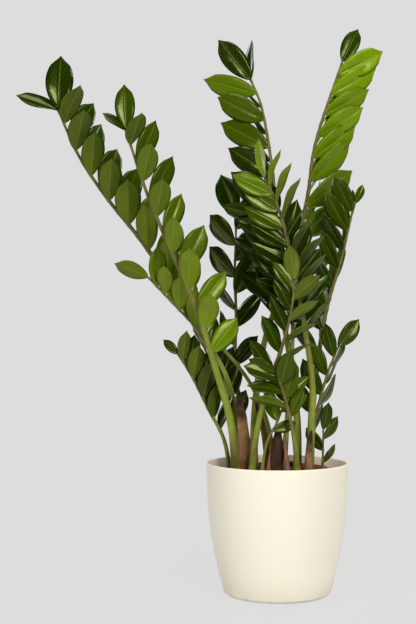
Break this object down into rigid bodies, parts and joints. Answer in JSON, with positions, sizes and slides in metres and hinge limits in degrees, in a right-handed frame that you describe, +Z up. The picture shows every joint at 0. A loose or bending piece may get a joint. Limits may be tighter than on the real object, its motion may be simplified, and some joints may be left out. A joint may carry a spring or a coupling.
{
  "type": "potted zz plant",
  "caption": "Zz plant with tall compound fronds of glossy leaflets, rising from rhizomes in a nursery pot set inside a plain rounded cream cover pot.",
  "frame": {"origin": "centre of the cover pot's flat underside, on the surface that the plant stands on", "axes": "+Z up; the front, which the camera faces, is at -Y; +X to the viewer's right"},
  "size_m": [0.6709, 0.3233, 1.0192],
  "materials": {
    "cream_plastic": "satin, warm cream, through-coloured moulded plastic",
    "terracotta_plastic": "matte, terracotta red-brown thin moulded plastic",
    "mix": "crumbly dark peat and bark, matte",
    "leaf": "waxy and glossy above, paler and matte below, light green petioles",
    "papery_sheath": "dry, papery, brown",
    "shoot_skin": "smooth reddish brown skin of a young shoot",
    "rhizome_skin": "rough, dark brown, ringed",
    "bark": "rough orange-brown pine bark"
  },
  "bodies": {
    "root": {"cachepot": "cream_plastic", "nursery_pot": "terracotta_plastic", "potting_mix": "mix", "frond_left_outer": "leaf", "frond_left_inner": "leaf", "frond_left_low": "leaf", "frond_left_short": "leaf", "frond_left_back": "leaf", "frond_back_dark": "leaf", "frond_centre_top": "leaf", "frond_right_top": "leaf", "frond_centre_mid": "leaf", "frond_centre_left": "leaf", "frond_right_mid": "leaf", "frond_centre_front": "leaf", "frond_front_small": "leaf", "frond_right_low": "leaf", "frond_right_tiny": "leaf", "frond_front_thin": "leaf", "sheath_tall": "papery_sheath", "sheath_inner": "papery_sheath", "sheath_right": "papery_sheath", "shoot_front": "shoot_skin", "shoot_small": "shoot_skin", "rhizome_centre": "rhizome_skin", "rhizome_right": "rhizome_skin", "bark_chip_a": "bark", "bark_chip_b": "bark", "bark_chip_c": "bark", "bark_chip_d": "bark"}
  },
  "joints": []
}
